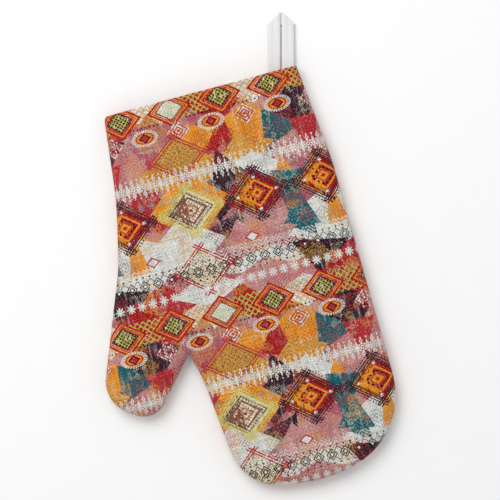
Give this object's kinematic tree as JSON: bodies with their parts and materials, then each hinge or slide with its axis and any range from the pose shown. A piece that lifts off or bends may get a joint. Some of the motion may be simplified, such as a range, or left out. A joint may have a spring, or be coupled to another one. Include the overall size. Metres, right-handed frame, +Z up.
{
  "type": "oven mitt",
  "caption": "Flat padded oven mitt with one thumb, a printed patchwork canvas outside, quilted cotton lining, open cuff and a white tape hanging loop.",
  "frame": {"origin": "under the middle of the whole object's box, on the surface that the mitt lies on", "axes": "+Z up out of the surface, +Y from the fingertips to the cuff, -X towards the thumb"},
  "size_m": [0.2284, 0.3758, 0.0184],
  "materials": {
    "printed_canvas": "matt plain-weave canvas with a printed patchwork of small geometric motifs in red, orange, pink, teal, plum and off-white",
    "wadding": "loose needled fibre wadding",
    "cotton_lining": "matt fine plain-weave cotton",
    "loop_tape": "matt white cotton tape",
    "white_thread": "spun polyester sewing thread, slight sheen",
    "seam_thread": "spun polyester sewing thread, slight sheen"
  },
  "bodies": {
    "mitt": {"outer_front": "printed_canvas", "outer_back": "printed_canvas", "wadding_front": "wadding", "wadding_back": "wadding", "lining_front": "cotton_lining", "lining_back": "cotton_lining", "loop_ends": "loop_tape", "loop_tacks": "white_thread", "quilting_front": "white_thread", "quilting_back": "white_thread", "cuff_stitching_front": "white_thread", "cuff_stitching_back": "white_thread", "side_seam_thread": "seam_thread", "lining_seam_thread": "white_thread"},
    "loop": {"hanging_loop": "loop_tape"}
  },
  "joints": [
    {"name": "loop_swing", "type": "hinge", "parent": "mitt", "child": "loop", "pos_m": [0.09114, 0.14318, 0.00385], "axis": [1, 0, 0], "range_deg": [0, 90]}
  ]
}
